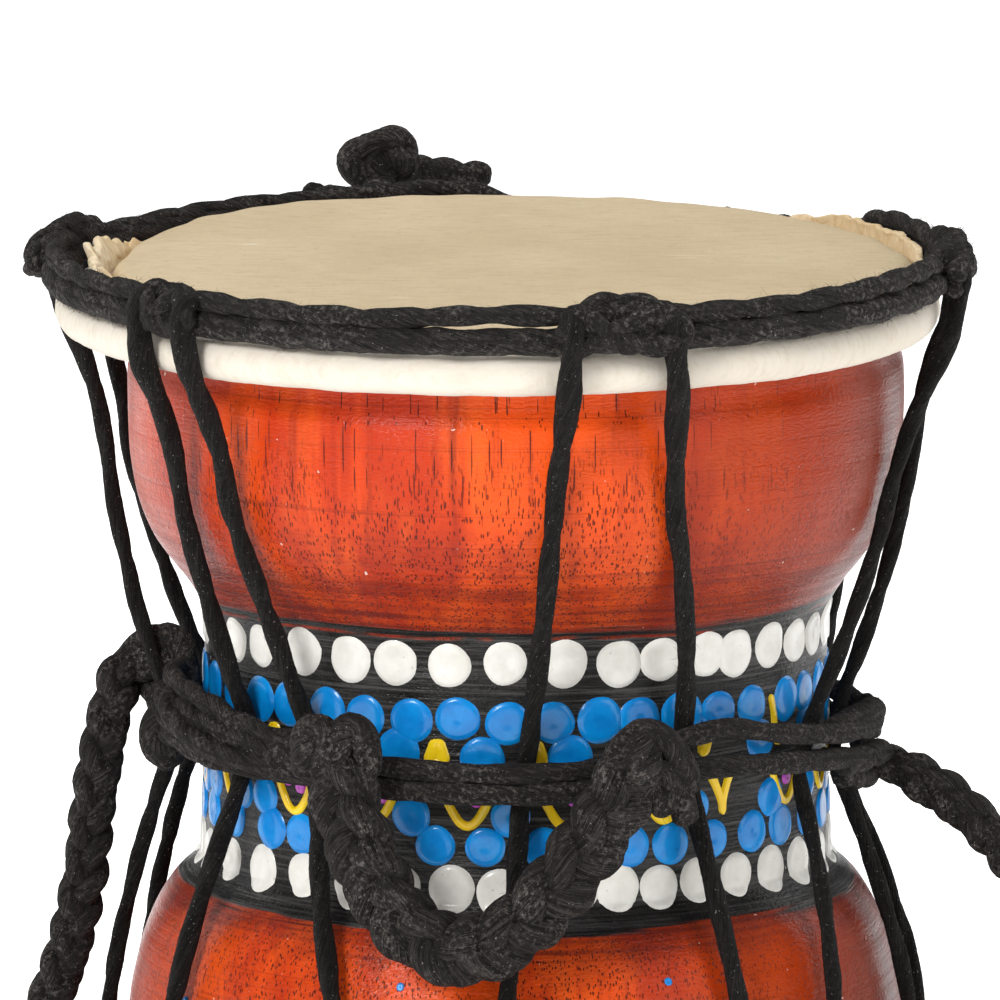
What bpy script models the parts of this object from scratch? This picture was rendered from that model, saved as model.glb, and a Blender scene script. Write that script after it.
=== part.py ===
"""Small hand-made djembe with a laced goatskin head, a waist binding and a carrying cord.

Metres, +Z up, front facing -Y.  Everything is laid out about the drum's turning axis and then
parented to an empty, which puts the origin in the middle of the laced drum's outline, on the ground.
Azimuths are degrees about the drum's axis: 0 is the front, positive turns towards +X.
"""
import math

import bmesh
import bpy
from mathutils import Matrix, Vector

MM = 0.001
GAP = 0.3 * MM
AXIS_PLACE = Vector((2.2, -2.9, 0)) * MM     # where the turning axis meets the ground

# Shell: the turned outside and bore, as (radius, height) in millimetres, from the foot up.
SHELL_OUTSIDE = [(43.6, 0), (45.0, 1.6), (46.2, 7), (46.9, 13), (47.0, 19), (46.6, 24), (45.8, 28), (44.8, 31.5),
                 (43.2, 35.2), (41.2, 38.2), (39.0, 40.2), (37.9, 41.6), (37.5, 50), (37.4, 70.3), (38.0, 72.4),
                 (39.6, 75), (41.7, 77.6), (43.7, 80.6), (45.2, 84.4), (46.1, 89), (46.4, 94), (46.4, 100.4),
                 (45.7, 103.6), (45.7, 110.4), (45.1, 111.2)]
SHELL_BORE = [(42.2, 111.2), (41.4, 109.8), (41.4, 92), (39.4, 85), (35.0, 78), (30.6, 71.5), (30.0, 67),
              (30.0, 45), (31.4, 40), (36.0, 32), (39.6, 24), (40.2, 14), (38.6, 6), (36.0, 0)]
TURNED_STEPS = 44
RIM_TILT = math.tan(math.radians(4.4))      # the hand-cut rim and its skin are lower at the front
RIM_TILT_FROM, RIM_TILT_TO = 92 * MM, 103.5 * MM

# Skin head, and the steel hoop rolled in its edge.
HEAD_PROFILE = [(0, 111.5), (46.4, 111.5), (46.6, 110.6), (47.1, 110.2), (47.4, 110.9), (47.2, 111.9),
                (46.5, 112.2), (0, 112.2)]
HOOP_CENTRE_X = -2.2 * MM
HOOP_TILT = math.tan(math.radians(2.7))
HOOP_RADIUS = 50.95 * MM
HOOP_HEIGHT = 107.35 * MM
HOOP_HALF_WIDTH, HOOP_HALF_HEIGHT = 1.9 * MM, 2.3 * MM

# Crown ring: the rope ring that sits on the hoop, with the lacing's top hitches.
CROWN_RADIUS = 52.6 * MM
CROWN_HEIGHT = 112.55 * MM
CROWN_TUBE = 2.6 * MM
TOP_HITCHES = [-46, 13, 88, 142, 200, -97]
TOP_HITCH_HALF_ANGLE = 6.5

# Lower ring: the rope ring near the foot, with the lacing's lower hitches.
LOWER_RING_RADIUS = 49.1 * MM
LOWER_RING_HEIGHT = 12.5 * MM
LOWER_RING_TUBE = 1.8 * MM
LOW_HITCHES = [-66, -12, 40, 84.5, 165, 231]
LOW_HITCH_HALF_ANGLE = 5.0

# Lacing: twelve runs of one cord, each as azimuths at the crown, the waist and the lower ring.
LACE_RADIUS = 1.45 * MM
LACE_RUNS = [(-90, -88, -75), (-50, -56, -57), (-42, -38, -20), (7, 2, -3), (19, 30.5, 34), (81, 66, 46),
             (96, 82, 76), (136, 110, 93), (148, 150, 158), (195, 180, 172), (205, 212, 222), (256, 263, 240)]
LACE_ABOVE = [(54.75, 108.4), (54.5, 105.4), (52.7, 100), (49.6, 90.6), (47.2, 83), (45.2, 77), (43.0, 70.6),
              (41.2, 65.4), (39.3, 60.4), (39.2, 57.0)]
LACE_BELOW = [(39.2, 56.0), (39.3, 53.5), (41.3, 48.2), (43.6, 42.2), (45.3, 37.2), (46.9, 32), (48.1, 27.2),
              (48.9, 22.5), (49.6, 18.5), (50.0, 15.8)]

# Waist binding: two strands round the laces, with a strap knot in the gap at each side.
BINDING_RADIUS = 42.4 * MM
BINDING_TUBE = 1.3 * MM
BINDING_STRANDS = {"upper": 58.3 * MM, "lower": 55.3 * MM}
BINDING_ARCS = {"front": (-83.5, 80.5), "back": (95.5, 260)}
BINDING_STEP = 7.5

# Free cords: hand-laid routes in millimetres.
STRAP_RADIUS = 2.7 * MM
STRAP_ROUTE = [(46.9, -1.5, 51.8), (49.8, -1.6, 49.8), (53.5, -2.0, 46.4), (58.6, -2.4, 40.8), (63.4, -2.2, 34.2),
               (67.6, -0.8, 27.0), (71.4, 1.8, 19.4), (75.0, 5.8, 12.0), (78.2, 11.4, 6.2), (80.4, 18.6, 3.4),
               (81.4, 27.2, 2.8), (80.4, 37.6, 2.8), (77.0, 48.4, 2.8), (71.6, 58.6, 2.8), (64.4, 67.4, 2.8),
               (55.4, 74.8, 2.8), (45.0, 80.8, 2.8), (33.6, 85.2, 2.8), (21.6, 87.8, 2.8), (9.2, 88.8, 2.8),
               (-3.4, 88.2, 2.8), (-16.0, 86.2, 2.8), (-28.2, 82.2, 2.8), (-39.6, 76.4, 2.8), (-50.0, 68.6, 2.8),
               (-59.0, 59.4, 2.8), (-66.0, 49.0, 2.8), (-71.0, 37.6, 2.8), (-73.6, 26.2, 2.8), (-73.6, 15.6, 3.0),
               (-70.8, 7.4, 5.6), (-66.2, 2.2, 10.2), (-60.6, -0.6, 15.8), (-56.4, -1.6, 22.6),
               (-53.8, -1.8, 29.8), (-52.2, -1.8, 37.0), (-51.2, -1.6, 44.2), (-50.2, -1.2, 51.2),
               (-48.9, -0.4, 57.6), (-47.4, 1.4, 62.6), (-45.6, 3.4, 65.2)]
BRAID_RADIUS = 3.7 * MM
BRAID_ROUTE = [(-21.2, -42.9, 62.6), (-20.1, -44.0, 56.4), (-18.0, -45.7, 50.0), (-15.0, -47.4, 44.0),
               (-10.6, -49.5, 39.8), (-5.4, -50.9, 38.7), (-0.2, -51.1, 41.2), (5.1, -50.1, 46.6),
               (9.8, -48.3, 52.8), (13.0, -46.7, 58.8), (14.9, -45.7, 63.0)]
CORD_STEP = 2.2                              # tube points, in cord radii times two

# Knots: (azimuth, radius, height) of the middle, then half sizes outwards, round and up, all millimetres.
KNOTS = {"strap_knot_left": ((-92, 42.7, 59.0), (1.4, 5.0, 3.8)),
         "strap_knot_right": ((88, 43.0, 53.2), (1.9, 3.6, 4.6)),
         "tie_off_knot": ((196.4, 61.2, 119.6), (3.4, 5.2, 3.9))}
TAIL_ROUTE = [(-11.0, 59.6, 118.2), (-7.4, 59.8, 118.0), (-4.0, 59.4, 117.2), (-1.4, 58.6, 116.0)]
TAIL_RADIUS = 1.9 * MM

BLACK_CORD = (0.022, 0.020, 0.019)
COLOURS = {"red_wood": ((0.50, 0.055, 0.018), 0.32), "goatskin": ((0.66, 0.50, 0.31), 0.62),
           "cream_skin": ((0.84, 0.76, 0.62), 0.6), "black_cord": (BLACK_CORD, 0.95)}


def clear_scene():
    for old in list(bpy.data.objects):
        bpy.data.objects.remove(old, do_unlink=True)


def material(kind, name):
    """A fresh material for one node, in the look of its kind."""
    colour, roughness = COLOURS[kind]
    made = bpy.data.materials.new(kind + "_" + name)
    made.use_nodes = True
    shader = made.node_tree.nodes["Principled BSDF"]
    shader.inputs["Base Color"].default_value = (*colour, 1)
    shader.inputs["Roughness"].default_value = roughness
    shader.inputs["Metallic"].default_value = 0
    return made


def polar(radius, azimuth, height):
    angle = math.radians(azimuth)
    return Vector((radius * math.sin(angle), -radius * math.cos(angle), height))


def interpolate(pairs, value):
    """Linear look-up in a rising list of (key, result)."""
    if value <= pairs[0][0]:
        return pairs[0][1]
    for (low, first), (high, second) in zip(pairs, pairs[1:]):
        if value <= high:
            return first + (second - first) * (value - low) / (high - low)
    return pairs[-1][1]


def shell_radius(height):
    return interpolate([(z * MM, r * MM) for r, z in SHELL_OUTSIDE], height)


def add_object(name, data, kind):
    made = bpy.data.objects.new(name, data)
    data.materials.append(material(kind, name))
    bpy.context.collection.objects.link(made)
    return made


def finish_mesh(name, mesh_builder, kind, crease=40):
    bmesh.ops.recalc_face_normals(mesh_builder, faces=mesh_builder.faces)
    mesh = bpy.data.meshes.new(name)
    mesh_builder.to_mesh(mesh)
    mesh_builder.free()
    mesh.shade_smooth()
    mesh.set_sharp_from_angle(angle=math.radians(crease))
    return add_object(name, mesh, kind)


def turned(name, profile, kind, place=None, closed=True):
    """Spin a profile of (radius, height) millimetres about Z; place() then moves each point."""
    builder = bmesh.new()
    points = [builder.verts.new((r * MM, 0, z * MM)) for r, z in profile]
    edges = [builder.edges.new(pair) for pair in zip(points, points[1:])]
    if closed:
        edges.append(builder.edges.new((points[-1], points[0])))
    bmesh.ops.spin(builder, geom=points + edges, cent=(0, 0, 0), axis=(0, 0, 1),
                   angle=math.tau, steps=TURNED_STEPS, use_merge=True)
    bmesh.ops.remove_doubles(builder, verts=builder.verts, dist=0.001 * MM)
    if place:
        for vertex in builder.verts:
            vertex.co = place(vertex.co)
    return finish_mesh(name, builder, kind)


def tilt_rim(point):
    share = (point.z - RIM_TILT_FROM) / (RIM_TILT_TO - RIM_TILT_FROM)
    return point + Vector((0, 0, point.y * RIM_TILT * min(max(share, 0), 1)))


def tilt_hoop(point):
    """Move a point modelled round the drum's axis to the hoop's own centre and tilt."""
    return Vector((point.x + HOOP_CENTRE_X, point.y, point.z + point.y * HOOP_TILT))


def tube(name, points, radius, kind="black_cord", cyclic=False, resolution=2):
    curve = bpy.data.curves.new(name, "CURVE")
    curve.dimensions = "3D"
    curve.bevel_depth = radius
    curve.bevel_resolution = resolution
    curve.use_fill_caps = not cyclic
    spline = curve.splines.new("POLY")
    spline.points.add(len(points) - 1)
    for slot, point in zip(spline.points, points):
        slot.co = (*point, 1)
    spline.use_cyclic_u = cyclic
    return add_object(name, curve, kind)


def smooth_route(route, spacing):
    """Points at an even spacing along a Catmull-Rom curve through the route, in metres."""
    knots = [Vector(point) * MM for point in route]
    knots = [2 * knots[0] - knots[1]] + knots + [2 * knots[-1] - knots[-2]]
    fine = []
    for before, start, end, after in zip(knots, knots[1:], knots[2:], knots[3:]):
        for step in range(20):
            t = step / 20
            fine.append(0.5 * (2 * start + (end - before) * t + (2 * before - 5 * start + 4 * end - after) * t ** 2
                               + (3 * start - before - 3 * end + after) * t ** 3))
    fine.append(knots[-2])
    travelled = [0]
    for first, second in zip(fine, fine[1:]):
        travelled.append(travelled[-1] + (second - first).length)
    count = max(2, round(travelled[-1] / spacing))
    picked = []
    for index in range(count + 1):
        goal = travelled[-1] * index / count
        place = next((i for i, reached in enumerate(travelled) if reached >= goal - 1e-9), len(fine) - 1)
        picked.append(fine[place])
    return picked, travelled[-1]


def free_cord(name, route, radius):
    points, _ = smooth_route(route, 2 * radius * CORD_STEP)
    return tube(name, points, radius)


def ring(radius, height):
    return [polar(radius, 360 * step / TURNED_STEPS, height) for step in range(TURNED_STEPS)]


def make_shell():
    turned("shell", SHELL_OUTSIDE + SHELL_BORE, "red_wood", tilt_rim)


def make_head():
    turned("drum_head", HEAD_PROFILE, "goatskin", tilt_rim, closed=False)


def make_hoop():
    steps = 10
    oval = [(HOOP_RADIUS + HOOP_HALF_WIDTH * math.cos(math.tau * i / steps),
             HOOP_HEIGHT + HOOP_HALF_HEIGHT * math.sin(math.tau * i / steps)) for i in range(steps)]
    turned("flesh_hoop", [(r / MM, z / MM) for r, z in oval], "cream_skin", tilt_hoop)


def make_rings():
    tube("crown_ring", [tilt_hoop(p) for p in ring(CROWN_RADIUS, CROWN_HEIGHT)], CROWN_TUBE, cyclic=True)
    tube("lower_ring", ring(LOWER_RING_RADIUS, LOWER_RING_HEIGHT), LOWER_RING_TUBE, cyclic=True)


def hitch(name, azimuth, half_angle, ring_radius, ring_height, inner, outer, wrap, place):
    """A cord hitch as a collar round the outer side of a ring: wrap is its two end angles."""
    steps, slices = 7, 3
    first, last = (math.radians(angle) for angle in wrap)
    section = [(inner, first + (last - first) * i / steps) for i in range(steps + 1)]
    section += [(outer, first + (last - first) * i / steps) for i in range(steps, -1, -1)]
    builder = bmesh.new()
    rows = []
    for index in range(slices + 1):
        turn = azimuth + half_angle * (2 * index / slices - 1)
        rows.append([builder.verts.new(place(polar(ring_radius + reach * math.cos(angle), turn,
                                                   ring_height + reach * math.sin(angle))))
                     for reach, angle in section])
    count = len(section)
    for near, far in zip(rows, rows[1:]):
        for i in range(count):
            builder.faces.new((near[i], near[(i + 1) % count], far[(i + 1) % count], far[i]))
    for row in (rows[0], rows[-1]):
        for i in range(steps):
            builder.faces.new((row[i], row[i + 1], row[count - 2 - i], row[count - 1 - i]))
    finish_mesh(name, builder, "black_cord")


def make_hitches():
    for number, azimuth in enumerate(TOP_HITCHES, 1):
        hitch(f"hitch_top_{number}", azimuth, TOP_HITCH_HALF_ANGLE, CROWN_RADIUS, CROWN_HEIGHT,
              CROWN_TUBE + GAP, CROWN_TUBE + 1.8 * MM, (-50, 140), tilt_hoop)
    for number, azimuth in enumerate(LOW_HITCHES, 1):
        hitch(f"hitch_low_{number}", azimuth, LOW_HITCH_HALF_ANGLE, LOWER_RING_RADIUS, LOWER_RING_HEIGHT,
              LOWER_RING_TUBE + GAP, LOWER_RING_TUBE + 1.5 * MM, (-120, 50), lambda point: point)


def lace_points(stations, from_azimuth, to_azimuth, at_crown):
    """Points of one half run; it swings evenly between its azimuths and keeps off the shell."""
    top, bottom = stations[0][1], stations[-1][1]
    points = []
    for radius, height in stations:
        share = (top - height) / (top - bottom)
        point = polar(radius * MM, from_azimuth + (to_azimuth - from_azimuth) * share, height * MM)
        if at_crown:
            lean = 1 - share
            point += Vector((HOOP_CENTRE_X * lean, 0, point.y * HOOP_TILT * lean ** 2))
        flat = Vector((point.x, point.y, 0))
        least = shell_radius(point.z) + LACE_RADIUS + GAP
        if flat.length < least:
            point += flat.normalized() * (least - flat.length)
        points.append(point)
    return points


def make_lacing():
    for number, (crown, waist, low) in enumerate(LACE_RUNS, 1):
        tube(f"lace_upper_{number}", lace_points(LACE_ABOVE, crown, waist, True), LACE_RADIUS)
        tube(f"lace_lower_{number}", lace_points(LACE_BELOW, waist, low, False), LACE_RADIUS)


def make_binding():
    for side, (start, end) in BINDING_ARCS.items():
        count = round((end - start) / BINDING_STEP)
        for strand, height in BINDING_STRANDS.items():
            points = [polar(BINDING_RADIUS, start + (end - start) * i / count, height) for i in range(count + 1)]
            tube(f"binding_{side}_{strand}", points, BINDING_TUBE)


def make_knots():
    for name, ((azimuth, radius, height), (outwards, around, up)) in KNOTS.items():
        builder = bmesh.new()
        bmesh.ops.create_icosphere(builder, subdivisions=2, radius=MM)
        shape = Matrix.Diagonal((around, outwards, up, 1))
        turn = Matrix.Rotation(math.radians(azimuth), 4, "Z")
        place = Matrix.Translation(polar(radius * MM, azimuth, height * MM))
        bmesh.ops.transform(builder, matrix=place @ turn @ shape, verts=builder.verts)
        finish_mesh(name, builder, "black_cord", crease=80)


def place_on_ground():
    """Parent every piece to one empty that stands where the turning axis meets the ground."""
    pieces = list(bpy.data.objects)
    stand = bpy.data.objects.new("drum_axis", None)
    bpy.context.collection.objects.link(stand)
    for piece in pieces:
        piece.parent = stand
    stand.location = AXIS_PLACE


def make_free_cords():
    free_cord("strap", STRAP_ROUTE, STRAP_RADIUS)
    free_cord("front_braid", BRAID_ROUTE, BRAID_RADIUS)
    points, _ = smooth_route(TAIL_ROUTE, 2 * TAIL_RADIUS)
    tube("tie_off_tail", points, TAIL_RADIUS)


clear_scene()
make_shell()
make_head()
make_hoop()
make_rings()
make_hitches()
make_lacing()
make_binding()
make_knots()
make_free_cords()
place_on_ground()
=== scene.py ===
"""Looks of the small laced djembe: turned shell with painted dots, skin head, black cotton ropes.

Shapes are laid out in millimetres about the drum's turning axis; place() turns them into the frame.
Azimuths are degrees about that axis: 0 is the front (-Y), positive turns towards +X.
"""
import math
import random

import bpy
import numpy as np
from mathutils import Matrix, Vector, noise


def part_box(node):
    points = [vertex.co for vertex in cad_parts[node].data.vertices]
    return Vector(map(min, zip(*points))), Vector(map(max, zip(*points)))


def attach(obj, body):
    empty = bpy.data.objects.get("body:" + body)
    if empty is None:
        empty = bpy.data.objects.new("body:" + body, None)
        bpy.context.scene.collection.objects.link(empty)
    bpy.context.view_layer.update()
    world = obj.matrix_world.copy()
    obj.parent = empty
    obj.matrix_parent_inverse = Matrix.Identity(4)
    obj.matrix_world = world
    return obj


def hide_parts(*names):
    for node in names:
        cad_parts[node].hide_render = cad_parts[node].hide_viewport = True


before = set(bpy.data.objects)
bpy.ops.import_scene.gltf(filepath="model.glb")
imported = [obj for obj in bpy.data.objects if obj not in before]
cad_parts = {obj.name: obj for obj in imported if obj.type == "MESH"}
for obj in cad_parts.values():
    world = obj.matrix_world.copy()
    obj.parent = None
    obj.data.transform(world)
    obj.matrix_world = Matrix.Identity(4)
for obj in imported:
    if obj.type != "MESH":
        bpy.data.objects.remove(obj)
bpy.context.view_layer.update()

MM = 0.001
SHELL_LOW, SHELL_HIGH = (Vector(corner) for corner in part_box("shell"))
AXIS = Vector(((SHELL_LOW.x + SHELL_HIGH.x) / 2, (SHELL_LOW.y + SHELL_HIGH.y) / 2, 0))

# ---------------------------------------------------------------- dimensions, in millimetres
SHELL_OUTSIDE = [
    (43.6, 0), (45.0, 1.6), (46.2, 7), (46.9, 13), (47.0, 19), (46.6, 24), (45.8, 28), (44.8, 31.5),
    (43.2, 35.2), (41.2, 38.2), (39.0, 40.2), (37.9, 41.6), (37.5, 50), (37.4, 70.3), (38.0, 72.4),
    (39.6, 75), (41.7, 77.6), (43.7, 80.6), (45.2, 84.4), (46.1, 89), (46.4, 94), (46.4, 100.4),
    (45.7, 103.6), (45.7, 110.4), (45.1, 111.2)]
OUTSIDE_CORNERS = {(37.9, 41.6), (37.4, 70.3)}
SHELL_BORE = [
    (42.2, 111.2), (41.4, 109.8), (41.4, 92), (39.4, 85), (35.0, 78), (30.6, 71.5), (30.0, 67), (30.0, 45),
    (31.4, 40), (36.0, 32), (39.6, 24), (40.2, 14), (38.6, 6), (36.0, 0)]
RIM_TILT = math.tan(math.radians(4.4))
RIM_TILT_FROM, RIM_TILT_TO = 92, 103.5
HEAD_HEIGHT = 112.2
HOOP_RADIUS, HOOP_HEIGHT = 50.95, 107.35
HOOP_HALF_WIDTH, HOOP_HALF_HEIGHT = 1.9, 2.35
HOOP_CENTRE_X = -2.2
HOOP_TILT = math.tan(math.radians(2.7))
CROWN_RADIUS, CROWN_HEIGHT = 52.6, 112.55
LOWER_RING_RADIUS, LOWER_RING_HEIGHT = 49.1, 12.5
BAND_LOW, BAND_HIGH = 38.5, 73.5
WAIST_RADIUS = 37.6

# Distance between the rings of points along a rope, and along the tight turns of a knot.
ROPE_STEP, KNOT_STEP = 0.45, 0.4
LACE_RADIUS = 1.2
# Runs at the sides whose cord is drawn thinner, with their share of the usual thickness.
SLIM_RUNS = {1: 0.86, 6: 0.84, 7: 0.84, 12: 0.86}
# Lacing runs, as azimuths at the crown, half way down the bowl, over and under the binding, and at the foot,
# then how far the run stands off where it rides over the binding.
LACE_RUNS = [
    (-104, -95, -86, -92, -89, 2.6), (-48, -53.5, -53.5, -55.5, -57.5, 0),
    (-40.3, -42.8, -37.5, -37, -20, 0), (8.8, 5.4, 2, 1, -3, 0), (21.4, 22.8, 29.8, 31, 34, 0),
    (80, 69, 63, 59, 47, 0), (97, 91, 86, 76, 75, 0), (136, 122, 110, 108, 93, 0),
    (148, 149, 150, 152, 158, 0), (195, 188, 180, 178, 172, 0), (205, 208, 212, 214, 222, 0),
    (245, 253.5, 246.5, 252, 247, 2.0)]
# The runs' (radius, height) stations from under the hoop to the lower ring.
LACE_STATIONS = [
    (54.3, 105.4), (51.6, 100), (49.4, 94.5), (47.9, 88.5), (46.7, 83), (45.0, 77), (43.0, 70.6),
    (41.2, 65.4), (39.3, 60.4), (39.2, 56.5), (39.3, 53.5), (41.3, 48.2), (43.6, 42.2), (45.3, 37.2),
    (46.9, 32), (48.1, 27.2), (48.9, 22.5), (49.6, 18.5), (50.2, 15.0)]
# Crown hitches: middle, left leg, right leg, the angle and height of the hump over the ring, and bulk.
TOP_HITCHES = [
    (-44, -48, -40.3, 84, 2.35, 0.94), (15, 8.8, 21.4, 86, 3.15, 0.96), (89, 80, 97, 52, 3.2, 1.0),
    (142, 136, 148, -6, 2.6, 0.8), (200, 195, 205, 10, 2.2, 0.75), (-99, -112, -92, 80, 3.0, 0.94)]
LOW_HITCHES = [
    (-66, -75, -57), (-12, -20, -3), (40, 34, 46), (84.5, 76, 93), (165, 158, 172), (231, 222, 240)]

STRAP_DIAMETER, BRAID_DIAMETER = 5.4, 7.4
STRAP_ROUTE = [
    (42.8, -1.4, 52.4), (46.2, -1.5, 51.4), (49.6, -1.6, 49.4), (53.5, -2.0, 46.8), (58.6, -2.4, 41.8),
    (63.4, -2.2, 35.6), (67.6, -0.8, 27.0), (71.4, 1.8, 19.4), (75.0, 5.8, 12.0), (78.2, 11.4, 6.2),
    (80.4, 18.6, 3.4), (81.4, 27.2, 2.8), (80.4, 37.6, 2.8), (77.0, 48.4, 2.8), (71.6, 58.6, 2.8),
    (64.4, 67.4, 2.8), (55.4, 74.8, 2.8), (45.0, 80.8, 2.8), (33.6, 85.2, 2.8), (21.6, 87.8, 2.8),
    (9.2, 88.8, 2.8), (-3.4, 88.2, 2.8), (-16.0, 86.2, 2.8), (-28.2, 82.2, 2.8), (-39.6, 76.4, 2.8),
    (-50.0, 68.6, 2.8), (-59.0, 59.4, 2.8), (-66.0, 49.0, 2.8), (-71.0, 37.6, 2.8), (-73.6, 26.2, 2.8),
    (-73.6, 15.6, 3.0), (-70.8, 7.4, 5.6), (-66.2, 2.2, 10.2), (-60.6, -0.6, 15.8), (-56.4, -1.6, 22.6),
    (-53.8, -1.8, 29.8), (-52.2, -1.8, 37.0), (-51.2, -1.6, 44.2), (-50.2, -1.2, 51.2), (-48.9, -0.4, 57.6),
    (-47.4, 1.4, 62.6), (-45.6, 3.4, 65.2)]
BRAID_ROUTE = [
    (-21.2, -42.9, 62.6), (-20.1, -44.0, 56.4), (-18.0, -45.7, 50.0), (-15.0, -47.4, 44.0),
    (-10.6, -49.5, 39.8), (-5.4, -50.9, 38.7), (-0.2, -51.1, 41.2), (5.1, -50.1, 46.6), (9.8, -48.3, 52.8),
    (13.0, -46.7, 58.8), (14.9, -45.7, 63.0)]

# Hand-painted dots, as kind, height, radius and azimuths on the front; the rest of each row follows at its
# mean spacing.
DOT_ROWS = [
    ("white_dots", 69.6, 2.76,
     [-71, -62, -53, -41.5, -31, -22, -12, -2, 8.5, 18.5, 26.5, 36, 43, 52.5, 61.5, 70]),
    ("blue_dots", 63.0, 2.72,
     [-83, -73, -63, -53.5, -45.5, -36, -28, -19, -10.5, -1.5, 6.5, 15, 22.5, 31, 39, 47.5, 58, 65.5]),
    ("blue_dots", 58.8, 2.65, [-66, -38, -21.5, -6, 9.5, 27, 50, 66]),
    ("blue_dots", 51.8, 2.35, [-79, -72, -59, -52, -36, -19, -1, 15, 33.5, 53, 67]),
    ("blue_dots", 48.1, 2.45, [-73, -62, -50, -42, -28, -14.5, -5.5, 5, 13, 20.5, 28.5, 37.5, 47.5, 56, 66]),
    ("white_dots", 43.1, 2.7,
     [-83, -75, -63, -52, -41, -30, -21, -11.5, -3, 4, 11, 18, 26, 34, 43, 52.5, 62, 73])]
MARK_AZIMUTHS = [-66, -46.5, -29, -11.5, 6, 24.5, 39.5, 55]
MARK_HEIGHT = 55.4
# Yellow strokes as (path, width) and magenta dots, in degrees and millimetres about each mark's middle.
BOWL_STROKE = ([(-1.9, -0.4), (-0.3, -2.6), (1.6, -4.4), (3.6, -4.6), (5.6, -3.0), (7.2, -0.6)], 1.15)
PEAK_STROKES = [
    ([(-4.4, 2.4), (-3.2, 4.2), (-2.8, 5.4)], 1.9), ([(-1.2, 2.4), (-2.2, 4.2), (-2.8, 5.4)], 1.9),
    ([(-3.9, 2.6), (-1.5, 2.6)], 1.6)]
MARK_SHAPES = {
    "bowl": ([BOWL_STROKE, *PEAK_STROKES], [(1.2, -1.0), (4.4, -1.7)]),
    "fork": ([([(-2.6, 0.6), (-1.2, -1.2), (0.2, -3.2), (0.4, -4.8)], 1.3),
              ([(2.9, 0.9), (1.6, -1.0), (0.6, -3.0), (0.4, -4.8)], 1.3), PEAK_STROKES[0]], []),
    "wave": ([([(-2.2, 8.4), (-1.2, 6.0), (-0.8, 4.2), (0.2, 2.2)], 1.1), BOWL_STROKE], [(3.0, -2.0)])}
MARK_ORDER = ["bowl", "bowl", "bowl", "bowl", "bowl", "bowl", "fork", "wave", "bowl", "fork"]
PAINT_THICKNESS, PAINT_SUNK = 0.30, -0.05
# Small drops of blue paint that fell on the wood.
STRAY_DOTS = [(-17.6, 32.8), (23.4, 33.1), (-58, 27.5), (110, 30.0), (205, 34.0)]


# ---------------------------------------------------------------- geometry helpers
def polar(radius, azimuth, height):
    angle = math.radians(azimuth)
    return np.array([radius * math.sin(angle), -radius * math.cos(angle), height])


def place(points):
    """Drum millimetres to frame metres."""
    return np.asarray(points, float) * MM + np.array(AXIS)


def interpolate(pairs, value):
    return float(np.interp(value, [p[0] for p in pairs], [p[1] for p in pairs]))


def ring_noise(angle, scale, third):
    """Noise that closes on itself round the axis."""
    return noise.noise(Vector((math.cos(angle) * scale, math.sin(angle) * scale, third)))


def shell_radius(height):
    return interpolate([(z, r) for r, z in SHELL_OUTSIDE], height)


def tilt_rim(point):
    share = min(max((point[2] - RIM_TILT_FROM) / (RIM_TILT_TO - RIM_TILT_FROM), 0), 1)
    return np.array([point[0], point[1], point[2] + point[1] * RIM_TILT * share])


def tilt_hoop(point):
    return np.array([point[0] + HOOP_CENTRE_X, point[1], point[2] + point[1] * HOOP_TILT])


def crown_aside(azimuth):
    """How far the crown has slipped down and outwards behind the head, from 0 to 1."""
    return math.exp(-((azimuth % 360 - 152) / 30) ** 6)


def crown_closed(azimuth):
    """How far the crown's strands lie pressed together at the back left, from 0 to 1."""
    return math.exp(-((azimuth % 360 - 225) / 32) ** 4)


def crown_point(azimuth, angle, reach):
    """A point round the crown ring: angle 0 is outwards and 90 is up."""
    turn = math.radians(angle)
    sag = 3.3 * crown_aside(azimuth) + 0.7 * crown_closed(azimuth)
    return tilt_hoop(polar(CROWN_RADIUS + reach * math.cos(turn), azimuth,
                           CROWN_HEIGHT - sag + reach * math.sin(turn)))


def lace_route(crown, middle, over, under, low, ride):
    """One lacing run, from inside its crown hitch down the bowl, under the waist binding and to the foot."""
    heights, azimuths = (15, 56, 60, 88, 109), (low, under, over, middle, crown)
    points = [crown_point(crown, turn, reach) for turn, reach in ((58, 2.2), (24, 2.9), (-12, 3.2),
                                                                  (-42, 3.7))]
    for radius, height in LACE_STATIONS:
        point = polar(radius + ride * math.exp(-((height - 63) / 26) ** 2),
                      float(np.interp(height, heights, azimuths)), height)
        lean = max(0, (height - 57) / 52)
        point = point + [HOOP_CENTRE_X * lean ** 3, 0, point[1] * HOOP_TILT * lean ** 2]
        flat = math.hypot(point[0], point[1])
        least = shell_radius(point[2]) + LACE_RADIUS + 0.15
        if flat < least:
            point[:2] *= least / flat
        points.append(point)
    return points


def spline(route, step, closed=False):
    """Evenly spaced points along a Catmull-Rom curve through the route."""
    knots = [np.asarray(p, float) for p in route]
    if closed:
        knots = [knots[-1]] + knots + knots[:2]
    else:
        knots = [2 * knots[0] - knots[1]] + knots + [2 * knots[-1] - knots[-2]]
    t = np.linspace(0, 1, 24, endpoint=False)[:, None]
    fine = []
    for a, b, c, d in zip(knots, knots[1:], knots[2:], knots[3:]):
        bend, twist = 2 * a - 5 * b + 4 * c - d, 3 * b - a - 3 * c + d
        fine.append(0.5 * (2 * b + (c - a) * t + bend * t ** 2 + twist * t ** 3))
    return resample(np.vstack([*fine, knots[-2]]), step)


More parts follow.
